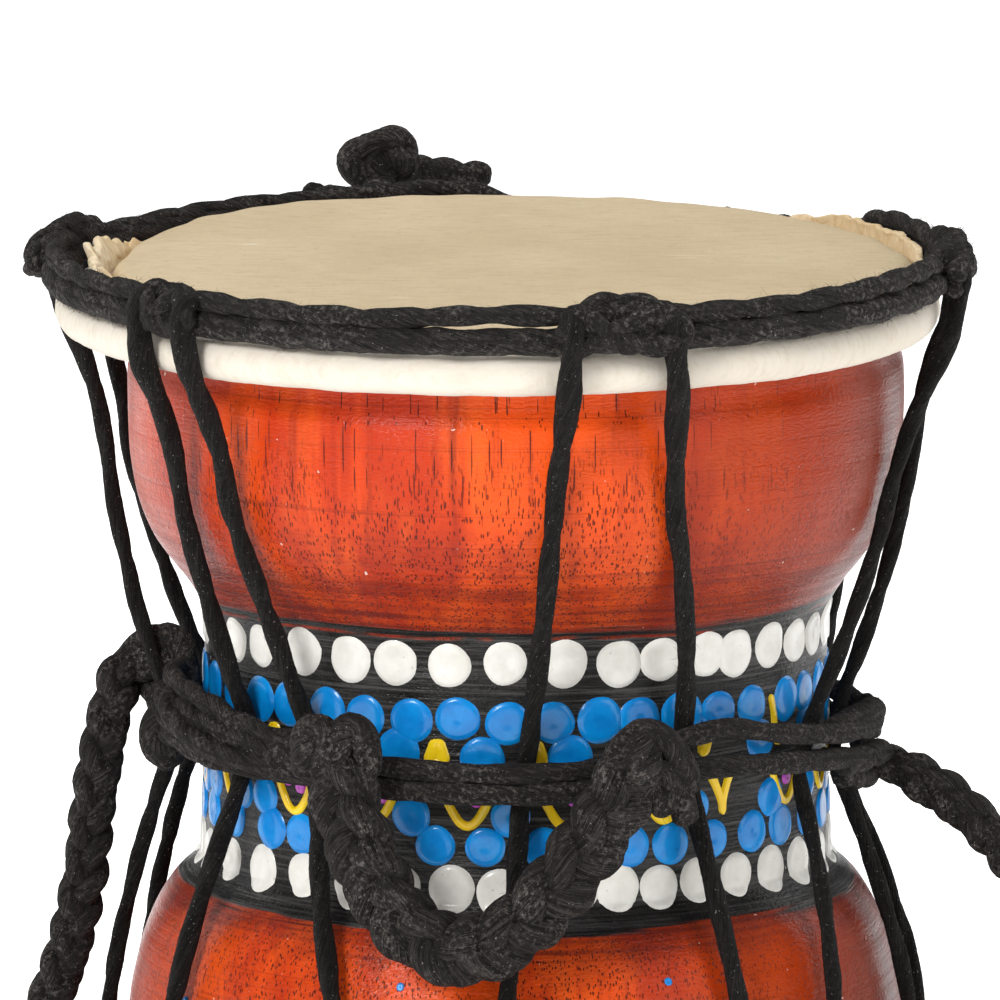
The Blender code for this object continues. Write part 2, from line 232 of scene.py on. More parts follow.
def resample(points, step):
    points = np.asarray(points, float)
    reach = np.concatenate([[0], np.cumsum(np.linalg.norm(np.diff(points, axis=0), axis=1))])
    count = max(3, int(round(reach[-1] / step)) + 1)
    goals = np.linspace(0, reach[-1], count)
    return np.stack([np.interp(goals, reach, points[:, axis]) for axis in range(3)], axis=1)


def transport(points, closed=False):
    """Tangent, normal and side at each point, turned as little as possible along the way."""
    tangents = np.gradient(points, axis=0)
    if closed:
        tangents[0] = tangents[-1] = points[1] - points[-2]
    tangents /= np.linalg.norm(tangents, axis=1)[:, None]
    start = np.cross(tangents[0], [0, 0, 1.0])
    if np.linalg.norm(start) < 0.1:
        start = np.cross(tangents[0], [0, 1.0, 0])
    normal = start / np.linalg.norm(start)
    normals = []
    for tangent in tangents:
        normal = normal - tangent * np.dot(normal, tangent)
        normal = normal / np.linalg.norm(normal)
        normals.append(normal)
    normals = np.array(normals)
    return tangents, normals, np.cross(tangents, normals)


def mesh_object(name, points, faces, material, uvs=None):
    """A mesh from drum-millimetre points; uvs are per vertex."""
    mesh = bpy.data.meshes.new(name)
    mesh.from_pydata(place(points).tolist(), [], faces)
    if uvs is not None:
        layer = mesh.uv_layers.new(name="UVMap")
        loops = np.empty(len(mesh.loops), dtype=np.int32)
        mesh.loops.foreach_get("vertex_index", loops)
        layer.data.foreach_set("uv", np.asarray(uvs, np.float32)[loops].ravel())
    mesh.polygons.foreach_set("use_smooth", [True] * len(mesh.polygons))
    mesh.materials.append(material)
    made = bpy.data.objects.new(name, mesh)
    bpy.context.collection.objects.link(made)
    return made


def grid_faces(rows, columns, wrap_rows=False, wrap_columns=True, first=0):
    faces = []
    for i in range(rows if wrap_rows else rows - 1):
        for j in range(columns if wrap_columns else columns - 1):
            a = first + i * columns + j
            b = first + i * columns + (j + 1) % columns
            c = first + ((i + 1) % rows) * columns + (j + 1) % columns
            d = first + ((i + 1) % rows) * columns + j
            faces.append((a, b, c, d))
    return faces


# ---------------------------------------------------------------- rope strands
def strand(path, radius, seed, plies=2, pitch=9.0, groove=0.34, lump=0.09, sides=16, closed=False, fuzz=7.0,
           swell=None):
    """One twisted cotton strand: points, faces and uvs of its surface and of the loose fibres on it.

    Groove is the depth of the twist and lump the size of slow swellings, as shares of the radius. Fuzz is
    the number of fibres to a millimetre, and swell scales the radius along the path.
    """
    tangents, normals, binormals = transport(path, closed)
    reach = np.concatenate([[0], np.cumsum(np.linalg.norm(np.diff(path, axis=0), axis=1))])
    if closed:
        pitch = reach[-1] / max(1, round(reach[-1] / pitch))
    around = np.arange(sides) * math.tau / sides
    turn = around[None, :] - math.tau * reach[:, None] / pitch
    lobes = np.abs(np.cos(plies * turn / 2))
    reachout = radius * (1 - groove * (1 - lobes) ** 1.3)
    drift = np.array([[noise.noise(Vector((s * 0.33 + seed, math.cos(a) * 0.7, math.sin(a) * 0.7)))
                       for a in around] for s in reach])
    fine = np.array([[noise.noise(Vector((s * 1.7 + seed, math.cos(a) * 2.6, math.sin(a) * 2.6 + seed)))
                      for a in around] for s in reach])
    if swell is not None:
        reachout = reachout * np.asarray(swell)[:, None]
    reachout = reachout + radius * (lump * drift + 0.3 * lump * fine)
    if closed:
        blend = np.clip(np.arange(len(path)) / 8, 0, 1)[::-1, None]
        reachout = reachout * blend + reachout[0][None, :] * (1 - blend)
    else:
        cap = np.minimum(reach, reach[-1] - reach) / radius
        rounding = np.sqrt(np.clip(1 - (1 - np.clip(cap * 1.2, 0, 1)) ** 2, 0.02, 1))
        reachout = reachout * rounding[:, None]
    outward = (np.cos(around)[None, :, None] * normals[:, None, :]
               + np.sin(around)[None, :, None] * binormals[:, None, :])
    surface = path[:, None, :] + outward * reachout[:, :, None]
    points = surface.reshape(-1, 3)
    uvs = np.stack([np.repeat(reach[:, None], sides, 1) / 10,
                    turn / math.tau * np.ones_like(turn)], axis=2).reshape(-1, 2)
    faces = grid_faces(len(path), sides)
    if not closed:
        faces.append(tuple(range(sides))[::-1])
        faces.append(tuple(len(points) - sides + i for i in range(sides)))
    hair_points, hair_faces, hair_uvs = fibres(surface, outward, tangents, reach, fuzz, seed, len(points))
    return (np.vstack([points, hair_points]), faces + hair_faces, np.vstack([uvs, hair_uvs]))


def fibres(surface, outward, tangents, reach, per_mm, seed, first):
    """Short loose fibres standing off a strand, as thin bent ribbons."""
    random_source = np.random.default_rng(int(seed * 977) + 5)
    count = max(1, int(reach[-1] * per_mm))
    rows = random_source.integers(1, surface.shape[0] - 1, count)
    columns = random_source.integers(0, surface.shape[1], count)
    root = surface[rows, columns]
    up = outward[rows, columns]
    along = tangents[rows] * random_source.choice([-1, 1], count)[:, None]
    stray = random_source.normal(size=(count, 3))
    stray /= np.linalg.norm(stray, axis=1)[:, None]
    length = random_source.uniform(0.35, 1.25, count)[:, None]
    lift = random_source.uniform(0.15, 0.75, count)[:, None]
    middle = root + (along * 0.75 + up * lift + stray * 0.35) * length * 0.5
    tip = middle + (along * 0.55 + up * (lift - 0.25) + stray * 0.75) * length * 0.5
    across = np.cross(up, along)
    across /= np.linalg.norm(across, axis=1)[:, None]
    width = random_source.uniform(0.012, 0.028, count)[:, None]
    points = np.stack([root - across * width, root + across * width, middle - across * width,
                       middle + across * width, tip], axis=1).reshape(-1, 3)
    faces = []
    for i in range(count):
        base = first + 5 * i
        faces.append((base, base + 1, base + 3, base + 2))
        faces.append((base + 2, base + 3, base + 4))
    uvs = np.repeat(random_source.uniform(0, 60, (count, 2)), 5, axis=0)
    return points, faces, uvs


def joined(parts):
    """Several (points, faces, uvs) as one."""
    points, faces, uvs, offset = [], [], [], 0
    for part_points, part_faces, part_uvs in parts:
        points.append(part_points)
        uvs.append(part_uvs)
        faces += [tuple(index + offset for index in face) for face in part_faces]
        offset += len(part_points)
    return np.vstack(points), faces, np.vstack(uvs)


def rope_object(name, parts, nodes=(), material="cotton"):
    points, faces, uvs = joined(parts)
    finish_piece(mesh_object(name, points, faces, MATERIALS[material], uvs), nodes)


def finish_piece(piece, nodes=()):
    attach(piece, "root")
    if nodes:
        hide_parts(*nodes)


def plait(centre, flat, width, depth, radius, period, seed):
    """A three-strand plait along a centre line; flat holds the direction its broad face looks in."""
    tangents = np.gradient(centre, axis=0)
    tangents /= np.linalg.norm(tangents, axis=1)[:, None]
    face = flat - tangents * np.sum(flat * tangents, axis=1)[:, None]
    face /= np.linalg.norm(face, axis=1)[:, None]
    side = np.cross(tangents, face)
    reach = np.concatenate([[0], np.cumsum(np.linalg.norm(np.diff(centre, axis=0), axis=1))])
    ends = np.clip(np.minimum(reach, reach[-1] - reach) / (3 * radius), 0.35, 1)[:, None]
    parts = []
    for index in range(3):
        turn = (math.tau * (reach / period + index / 3))[:, None]
        path = centre + ends * (side * width * np.sin(turn) + face * depth * np.sin(2 * turn))
        parts.append(strand(resample(path, ROPE_STEP), radius, seed + index * 3.7, pitch=3.4 * radius + 4,
                            groove=0.20, lump=0.13, fuzz=6))
    return parts


# ---------------------------------------------------------------- material helpers
class Nodes:
    """A small wrapper that adds shader nodes to one material."""

    def __init__(self, name):
        self.material = bpy.data.materials.new(name)
        self.material.use_nodes = True
        self.tree = self.material.node_tree
        self.shader = self.tree.nodes["Principled BSDF"]

    def link(self, source, target):
        self.tree.links.new(source, target)

    def add(self, kind, **settings):
        node = self.tree.nodes.new(kind)
        for key, value in settings.items():
            setattr(node, key, value)
        return node

    def coordinates(self, scale, source="Object"):
        where = self.add("ShaderNodeTexCoord")
        mapping = self.add("ShaderNodeMapping")
        mapping.inputs["Scale"].default_value = scale
        self.link(where.outputs[source], mapping.inputs["Vector"])
        return mapping.outputs["Vector"]

    def noise(self, scale, detail=2.0, roughness=0.5, source="Object", distortion=0.0):
        made = self.add("ShaderNodeTexNoise")
        made.inputs["Scale"].default_value = 1.0
        made.inputs["Detail"].default_value = detail
        made.inputs["Roughness"].default_value = roughness
        made.inputs["Distortion"].default_value = distortion
        self.link(self.coordinates(scale, source), made.inputs["Vector"])
        return made.outputs["Fac"]

    def cells(self, scale):
        """Distance to scattered points, for marks of one size spread evenly."""
        made = self.add("ShaderNodeTexVoronoi")
        made.inputs["Scale"].default_value = 1.0
        self.link(self.coordinates(scale), made.inputs["Vector"])
        return made.outputs["Distance"]

    def ramp(self, value, low, high, reverse=False):
        """Map value smoothly from low..high to 0..1, or to 1..0."""
        made = self.add("ShaderNodeMapRange", interpolation_type="SMOOTHSTEP")
        made.inputs["From Min"].default_value = low
        made.inputs["From Max"].default_value = high
        made.inputs["To Min"].default_value = 1.0 if reverse else 0.0
        made.inputs["To Max"].default_value = 0.0 if reverse else 1.0
        self.link(value, made.inputs["Value"])
        return made.outputs["Result"]

    def math(self, operation, first, second):
        made = self.add("ShaderNodeMath", operation=operation)
        for socket, value in zip(made.inputs, (first, second)):
            if isinstance(value, (int, float)):
                socket.default_value = value
            else:
                self.link(value, socket)
        return made.outputs["Value"]

    def times(self, first, second):
        return self.math("MULTIPLY", first, second)

    def plus(self, first, second):
        return self.math("ADD", first, second)

    def minus(self, first, second):
        return self.math("SUBTRACT", first, second)

    def largest(self, first, second):
        return self.math("MAXIMUM", first, second)

    def mix(self, factor, first, second):
        made = self.add("ShaderNodeMix", data_type="RGBA", blend_type="MIX")
        if isinstance(factor, (int, float)):
            made.inputs["Factor"].default_value = factor
        else:
            self.link(factor, made.inputs["Factor"])
        for name, value in (("A", first), ("B", second)):
            socket = next(s for s in made.inputs if s.name == name and s.type == "RGBA")
            if isinstance(value, tuple):
                socket.default_value = (*value, 1)
            else:
                self.link(value, socket)
        return next(s for s in made.outputs if s.type == "RGBA")

    def tint(self, colour, mask, share, paint):
        """Lay paint over colour where the mask is, up to a share."""
        return self.mix(self.times(mask, share), colour, paint)

    def bump(self, height, strength, distance):
        made = self.add("ShaderNodeBump")
        made.inputs["Strength"].default_value = strength
        made.inputs["Distance"].default_value = distance
        self.link(height, made.inputs["Height"])
        return made.outputs["Normal"]

    def axis(self, name):
        split = self.add("ShaderNodeSeparateXYZ")
        where = self.add("ShaderNodeTexCoord")
        self.link(where.outputs["Object"], split.inputs["Vector"])
        return split.outputs[name]

    def set(self, **values):
        for key, value in values.items():
            self.shader.inputs[key.replace("_", " ")].default_value = value

    def output(self, colour=None, roughness=None, normal=None):
        for name, value in (("Base Color", colour), ("Roughness", roughness), ("Normal", normal)):
            if value is not None:
                self.link(value, self.shader.inputs[name])
        return self.material


def wood_pores(n, height):
    """Short dark ticks low on the bowl and long thin lines near the rim, both along the grain."""
    ticks = n.ramp(n.cells((2100, 2100, 430)), 0.17, 0.25, reverse=True)
    for scale, size in (((1850, 1850, 400), 0.15), ((2400, 2400, 540), 0.17), ((1650, 1650, 470), 0.12)):
        ticks = n.largest(ticks, n.ramp(n.cells(scale), size, size + 0.06, reverse=True))
    ticks = n.times(ticks, n.ramp(n.noise((110, 110, 60), 2), 0.30, 0.42))
    ticks = n.times(ticks, n.ramp(height, 0.088, 0.099, reverse=True))
    lines = n.ramp(n.cells((1500, 1500, 38)), 0.11, 0.15, reverse=True)
    for scale, size in (((1250, 1250, 60), 0.10), ((1750, 1750, 50), 0.11)):
        lines = n.largest(lines, n.ramp(n.cells(scale), size, size + 0.04, reverse=True))
    return n.largest(ticks, n.times(lines, n.ramp(height, 0.084, 0.092)))


def red_stain_and_side_shade(n, height, brushed, pores):
    """Red stain over the grain, smoky beside the black band; painted shade browns the right, darkens the
    left.
    """
    broad = n.noise((75, 75, 6), 4, 0.6, distortion=0.8)
    streak = n.noise((520, 520, 12), 3, 0.65)
    cloud = n.noise((160, 160, 60), 3, 0.6)
    lathe = n.ramp(n.noise((9, 9, 2300), 2, 0.6), 0.60, 0.70)
    side = n.axis("X")
    red = n.mix(n.ramp(broad, 0.36, 0.66), (0.46, 0.030, 0.004), (0.80, 0.085, 0.007))
    red = n.tint(red, n.ramp(cloud, 0.45, 0.75), 0.35, (0.88, 0.15, 0.016))
    red = n.tint(red, n.ramp(streak, 0.50, 0.80), 0.65, (0.22, 0.018, 0.005))
    red = n.tint(red, pores, 0.86, (0.045, 0.005, 0.002))
    # Painted shade, set by x position: darker and browner towards the right, near black at the right edge,
    # darker towards the left.
    red = n.tint(red, n.ramp(side, 0.006, 0.040), 0.80, (0.27, 0.024, 0.001))
    red = n.tint(red, n.ramp(side, 0.036, 0.047), 0.65, (0.07, 0.012, 0.004))
    red = n.tint(red, n.ramp(side, -0.046, -0.022, reverse=True), 0.65, (0.30, 0.030, 0.008))
    red = n.tint(red, lathe, 0.30, (0.12, 0.010, 0.003))
    smoke = n.plus(height, n.times(n.minus(cloud, 0.5), 0.008))
    under = n.times(n.ramp(smoke, 0.0335, 0.0385), n.ramp(height, 0.041, 0.043, reverse=True))
    over = n.times(n.ramp(smoke, 0.0735, 0.0900, reverse=True), n.ramp(height, 0.066, 0.068))
    stain = n.times(n.largest(under, over), n.plus(0.45, n.times(brushed, 0.40)))
    return n.mix(stain, red, (0.085, 0.010, 0.008))


def waist_band(n, height, brushed):
    """Where the black band lies, with an uneven edge and a thin unpainted line near its top."""
    wobble = n.times(n.minus(n.noise((42, 42, 42), 3, 0.6), 0.5), 0.0022)
    edge = n.plus(height, wobble)
    feather = n.plus(edge, n.times(n.minus(brushed, 0.5), 0.0007))
    low, high = BAND_LOW * MM, BAND_HIGH * MM
    band = n.times(n.ramp(feather, low - 0.0002, low + 0.0003),
                   n.ramp(feather, high - 0.0002, high + 0.0004, reverse=True))
    line = n.times(n.ramp(edge, 0.0723, 0.0725), n.ramp(edge, 0.0727, 0.0729, reverse=True))
    line = n.times(line, n.ramp(n.noise((110, 110, 110), 2), 0.44, 0.56))
    return n.minus(band, n.times(line, 0.75))


def wood_material():
    n = Nodes("painted_red_wood")
    height = n.axis("Z")
    brushed = n.ramp(n.noise((30, 30, 1500), 3, 0.6), 0.38, 0.66)
    pores = wood_pores(n, height)
    band = waist_band(n, height, brushed)
    strokes = n.noise((60, 60, 2600), 3, 0.7)
    scuffs = n.ramp(n.noise((420, 420, 1900), 3, 0.7), 0.60, 0.78)
    # The black paint's lighter brush strokes are partly real brushwork and partly painted sheen.
    black = n.mix(n.ramp(strokes, 0.42, 0.72), (0.008, 0.0075, 0.007), (0.070, 0.066, 0.063))
    black = n.tint(black, scuffs, 0.5, (0.075, 0.070, 0.066))
    colour = n.mix(band, red_stain_and_side_shade(n, height, brushed, pores), black)
    speck = n.ramp(n.noise((1100, 1100, 1100), 2), 0.755, 0.775)
    colour = n.tint(colour, speck, 0.6, (0.80, 0.70, 0.64))
    rings = n.noise((14, 14, 1700), 3, 0.6)
    grit = n.noise((1500, 1500, 3000), 2, 0.6)
    roughness = n.mix(n.ramp(rings, 0.35, 0.7), (0.27, 0.27, 0.27), (0.40, 0.40, 0.40))
    relief = n.minus(n.times(rings, 0.55), n.times(pores, 0.55))
    relief = n.plus(relief, n.times(grit, 0.8))
    relief = n.plus(relief, n.times(n.times(strokes, band), 0.8))
    n.set(Coat_Weight=0.13, Coat_Roughness=0.16, Coat_IOR=1.45, Specular_IOR_Level=0.14)
    normal = n.bump(relief, 0.6, 0.00026)
    n.link(normal, n.shader.inputs["Coat Normal"])
    return n.output(colour, roughness, normal)


def bore_material():
    n = Nodes("raw_bore_wood")
    grain = n.noise((300, 300, 22), 4, 0.6)
    colour = n.mix(n.ramp(grain, 0.3, 0.7), (0.20, 0.085, 0.035), (0.36, 0.17, 0.075))
    n.set(Specular_IOR_Level=0.3)
    return n.output(colour, n.ramp(grain, -2.0, 1.2), n.bump(n.noise((900, 900, 60), 3), 0.6, 0.0003))


def skin_material(name, dark, light, fleck):
    n = Nodes(name)
    cloud = n.noise((38, 38, 38), 4, 0.6)
    fibre = n.noise((260, 1900, 400), 4, 0.65)
    cross_fibre = n.noise((1500, 260, 400), 3, 0.6)
    mottle = n.noise((700, 700, 700), 3, 0.65)
    colour = n.mix(n.ramp(cloud, 0.32, 0.68), dark, light)
    colour = n.tint(colour, n.ramp(fibre, 0.45, 0.70), 0.42, fleck)
    colour = n.tint(colour, n.ramp(cross_fibre, 0.52, 0.75), 0.25, light)
    colour = n.tint(colour, n.ramp(mottle, 0.55, 0.72), 0.30, fleck)
    scratch = n.ramp(n.noise((60, 900, 60), 2, 0.5, distortion=1.6), 0.715, 0.74)
    colour = n.tint(colour, scratch, 0.35, (0.86, 0.78, 0.64))
    n.set(Specular_IOR_Level=0.28, Subsurface_Weight=0.08, Subsurface_Scale=0.0012)
    n.shader.inputs["Subsurface Radius"].default_value = (1.0, 0.6, 0.35)
    relief = n.plus(n.plus(fibre, cross_fibre), mottle)
    return n.output(colour, n.ramp(cloud, -1.2, 1.0), n.bump(relief, 0.45, 0.00016))


def cotton_material(name, dark, light, glint, streak_glint_share, tuft_glint_share):
    n = Nodes(name)
    streaks = n.noise((2.4, 17, 1), 3, 0.7, source="UV")
    hairs = n.noise((3, 62, 1), 2, 0.6, source="UV")
    tuft = n.noise((1700, 1700, 1700), 3, 0.7)
    glint_patches = n.ramp(n.noise((150, 150, 150), 2), 0.35, 0.65)
    colour = n.mix(n.ramp(streaks, 0.36, 0.68), dark, light)
    # Painted highlight: the lighter glint colour is laid on the fibre streaks and on scattered tufts.
    colour = n.tint(colour, n.ramp(hairs, 0.54, 0.68), streak_glint_share, glint)
    colour = n.tint(colour, n.ramp(hairs, 0.34, 0.47, reverse=True), 0.70, dark)
    colour = n.tint(colour, n.times(n.ramp(tuft, 0.50, 0.66), glint_patches), tuft_glint_share, glint)
    colour = n.tint(colour, n.ramp(tuft, 0.34, 0.46, reverse=True), 0.60, (0.001, 0.0009, 0.0008))
    lint = n.ramp(n.noise((3900, 3900, 3900), 1), 0.725, 0.765)
    colour = n.tint(colour, lint, 0.6, (0.42, 0.40, 0.38))
    n.set(Roughness=0.80, Specular_IOR_Level=0.16, Sheen_Weight=0.04, Sheen_Roughness=0.5)
    n.shader.inputs["Sheen Tint"].default_value = (0.75, 0.70, 0.66, 1)
    relief = n.plus(n.plus(streaks, n.times(hairs, 0.8)), n.times(tuft, 0.6))
    return n.output(colour, None, n.bump(relief, 1.0, 0.0006))


def paint_material(name, base, shade):
    n = Nodes(name)
    patch = n.noise((330, 330, 330), 3, 0.6)
    fine = n.noise((2400, 2400, 1200), 2, 0.6)
    colour = n.mix(n.ramp(patch, 0.3, 0.7), shade, base)
    pit = n.ramp(n.noise((1700, 1700, 1700), 1), 0.745, 0.775)
    colour = n.tint(colour, pit, 0.45, tuple(0.35 * c for c in base))
    n.set(Roughness=0.34, Specular_IOR_Level=0.22, Coat_Weight=0.40, Coat_Roughness=0.12)
    return n.output(colour, None, n.bump(fine, 0.25, 0.00012))


def floor_material():
    """Pale studio floor: plain near the object, lit up further away as on a light table."""
    n = Nodes("pale_floor")
    cloud = n.noise((3, 3, 3), 2)
    where = n.add("ShaderNodeTexCoord")
    reach = n.add("ShaderNodeVectorMath", operation="LENGTH")
    n.link(where.outputs["Object"], reach.inputs[0])
    n.link(n.ramp(reach.outputs["Value"], 0.06, 0.17), n.shader.inputs["Emission Strength"])
    n.shader.inputs["Emission Color"].default_value = (1, 1, 1, 1)
    n.set(Roughness=0.9, Specular_IOR_Level=0.1)
    return n.output(n.mix(n.ramp(cloud, 0.2, 0.8), (0.90, 0.90, 0.90), (0.93, 0.93, 0.93)))


MATERIALS = {
    "wood": wood_material(),
    "bore": bore_material(),
    "cotton": cotton_material("soft_black_cotton", (0.0030, 0.0026, 0.0024), (0.036, 0.032, 0.029),
                              (0.165, 0.147, 0.135), 0.28, 0.75),
    "tight_cotton": cotton_material("black_cotton", (0.0010, 0.0009, 0.0008), (0.0105, 0.0092, 0.0085),
                                    (0.046, 0.041, 0.038), 0.50, 0.35),
    "skin": skin_material("tan_goatskin", (0.56, 0.445, 0.28), (0.63, 0.51, 0.335), (0.43, 0.325, 0.195)),
    "skin_edge": skin_material("crumpled_skin", (0.66, 0.50, 0.29), (0.84, 0.72, 0.52), (0.48, 0.27, 0.10)),
    "cream": skin_material("cream_hoop_skin", (0.66, 0.60, 0.51), (0.71, 0.65, 0.565), (0.57, 0.49, 0.375)),
    "white_dots": paint_material("white_paint", (0.78, 0.77, 0.72), (0.68, 0.66, 0.60)),
    "blue_dots": paint_material("blue_paint", (0.001, 0.265, 0.70), (0.0005, 0.185, 0.56)),
    "yellow_marks": paint_material("yellow_paint", (0.93, 0.66, 0.012), (0.86, 0.54, 0.006)),
    "magenta_dots": paint_material("magenta_paint", (0.60, 0.11, 0.60), (0.50, 0.06, 0.50))}


# ---------------------------------------------------------------- shell, paint, skin
def make_shell():
    outside = smooth_profile(SHELL_OUTSIDE, OUTSIDE_CORNERS)
    bore = smooth_profile(SHELL_BORE, set())
    profile = outside + bore
    segments = 288
    points = []
    for azimuth in np.arange(segments) * 360 / segments:
        for radius, height in profile:
            rough = 0.05 * noise.noise(Vector((azimuth * 0.05, height * 0.25, radius * 0.1)))
            points.append(tilt_rim(polar(radius + rough, azimuth, height)))
    rows = len(profile)
    faces = grid_faces(segments, rows, wrap_rows=True)
    shell = mesh_object("turned_shell", points, faces, MATERIALS["wood"])
    shell.data.materials.append(MATERIALS["bore"])
    rim = 4
    inner = [1 if len(outside) - rim <= face % rows < rows - 1 else 0 for face in range(len(faces))]
    shell.data.polygons.foreach_set("material_index", inner)
    finish_piece(shell, ["shell"])


def smooth_profile(stations, corners, step=0.8):
    """A rounded (radius, height) outline through the stations, sharp at the corners."""
    runs, run = [], [stations[0]]
    for station in stations[1:]:
        run.append(station)
        if station in corners:
            runs.append(run)
            run = [station]
    runs.append(run)
    outline = []
    for run in runs:
        curve = spline([(r, 0, z) for r, z in run], step)
        outline += [(p[0], p[2]) for p in (curve if run is runs[-1] else curve[:-1])]
    return outline


def on_waist(azimuth, height, lift):
    return polar(shell_radius(height) + lift, azimuth, height)


def complete_row(azimuths):
    """The row's azimuths, carried round the back at its own mean spacing."""
    gap = (azimuths[-1] - azimuths[0]) / (len(azimuths) - 1)
    left = 360 - (azimuths[-1] - azimuths[0])
    count = max(1, round(left / gap))
    return azimuths + [azimuths[-1] + left * i / count for i in range(1, count)]


def blob(azimuth, height, radius, seed, thickness=PAINT_THICKNESS):
    """A flat dome of thick paint, slightly out of round, with a small dimple where the stick left it."""
    rings, sides = 8, 26
    dent = 0.72 + 0.2 * noise.noise(Vector((seed, 7, 0)))
    points, uvs = [on_waist(azimuth, height, thickness * dent)], [(0, 0)]
    squash = 1 + 0.05 * noise.noise(Vector((seed, 1.5, 0)))
    for ring_index in range(1, rings + 1):
        share = ring_index / rings
        dimple = dent + (1 - dent) * min(1, share * 3)
        crown = thickness * (1 - share ** 7) ** 0.6 * dimple if share < 1 else PAINT_SUNK
        for side in range(sides):
            angle = math.tau * side / sides
            where = Vector((math.cos(angle) * 1.3 + seed, math.sin(angle) * 1.3, seed))
            wobble = 1 + 0.05 * noise.noise(where)
            reach = radius * share * wobble
            across = reach * math.cos(angle) * squash
            up = reach * math.sin(angle) / squash
            turn = math.degrees(across / shell_radius(height))
            points.append(on_waist(azimuth + turn, height + up, crown))
            uvs.append((across, up))
    faces = [(0, 1 + i, 1 + (i + 1) % sides) for i in range(sides)]
    faces += [face[::-1] for face in grid_faces(rings, sides, first=1)]
    return np.array(points), faces, np.array(uvs)


def ribbon(stations, width, seed, thickness=PAINT_THICKNESS):
    """A brushed stroke of paint through (azimuth, height) stations on the waist, rounded at both ends."""
    path = spline([(math.radians(a) * WAIST_RADIUS, 0, h) for a, h in stations], 0.25)
    direction = np.gradient(path, axis=0)
    direction /= np.linalg.norm(direction, axis=1)[:, None]
    count, across = len(path), 7
    points, uvs = [], []
    for index, (spot, way) in enumerate(zip(path, direction)):
        end = min(index, count - 1 - index) * 0.25
        half = width / 2 * math.sqrt(max(0.02, 1 - (1 - min(end / (width / 2), 1)) ** 2))
        half *= 1 + 0.12 * noise.noise(Vector((index * 0.12, seed, 0)))
        for step in range(across):
            side = 2 * step / (across - 1) - 1
            flat = spot + np.array([-way[2], 0, way[0]]) * side * half
            lift = thickness * (1 - side ** 4) if abs(side) < 1 else PAINT_SUNK
            points.append(on_waist(math.degrees(flat[0] / WAIST_RADIUS), flat[2], lift))
            uvs.append((flat[0], flat[2]))
    faces = [face[::-1] for face in grid_faces(count, across, wrap_columns=False)]
    return np.array(points), faces, np.array(uvs)


def make_paint():
    groups = {"white_dots": [], "blue_dots": [], "yellow_marks": [], "magenta_dots": []}
    source = random.Random(4)
    for row, (kind, height, radius, azimuths) in enumerate(DOT_ROWS):
        for index, azimuth in enumerate(complete_row(azimuths)):
            size = radius * source.uniform(0.93, 1.05)
            groups[kind].append(blob(azimuth, height + source.uniform(-0.25, 0.25), size,
                                     row * 40 + index * 1.7))
    for index, azimuth in enumerate(complete_row(MARK_AZIMUTHS)):
        yellow, magenta = MARK_SHAPES[MARK_ORDER[index % len(MARK_ORDER)]]
        for stroke, width in yellow:
            stations = [(azimuth + across, MARK_HEIGHT + up) for across, up in stroke]
            groups["yellow_marks"].append(ribbon(stations, width, index * 2.1))
        for across, up in magenta:
            groups["magenta_dots"].append(blob(azimuth + across, MARK_HEIGHT + up, 0.85, index * 3.1 + up,
                                               0.34))
    groups["blue_dots"] += [blob(azimuth, height, 0.5, azimuth, 0.25) for azimuth, height in STRAY_DOTS]
    for name, parts in groups.items():
        points, faces, uvs = joined(parts)
        finish_piece(mesh_object(name, points, faces, MATERIALS[name], uvs))


def make_head():
    """The skin: flat over the rim, rounded down at its edge to the hoop, slightly rippled there."""
    stations = [(radius, HEAD_HEIGHT) for radius in (0, 12, 24, 34)]
    stations += [(42, HEAD_HEIGHT + 0.02), (45.6, HEAD_HEIGHT), (46.9, 111.95), (47.6, 111.4), (48.1, 110.5),
                 (48.6, 109.4), (49.2, 108.3)]
    outline = [(p[0], p[2]) for p in spline([(r, 0, z) for r, z in stations], 0.6)][1:]
    segments = 360
    points = [(0, 0, HEAD_HEIGHT)]
    for azimuth in np.arange(segments) * 360 / segments:
        angle = math.radians(azimuth)
        for radius, height in outline:
            edge = min(max((radius - 43) / 5, 0), 1) ** 2
            ripple = ring_noise(angle, 9, radius * 0.12)
            swell = ring_noise(angle, radius * 0.06, 3)
            lift = 0.9 * math.exp(-((azimuth - 228) / 30) ** 2) * min(radius / 47, 1) ** 4
            point = polar(radius + 0.35 * ripple * edge, azimuth,
                          height + 0.45 * ripple * edge + 0.10 * swell + lift)
            points.append(tilt_rim(point))
    columns = len(outline)
    faces = [(0, 1 + i * columns, 1 + (i + 1) % segments * columns) for i in range(segments)]
    faces += grid_faces(segments, columns, wrap_rows=True, wrap_columns=False, first=1)
    head = mesh_object("goatskin_head", points, [f[::-1] for f in faces], MATERIALS["skin"])
    finish_piece(head, ["drum_head"])


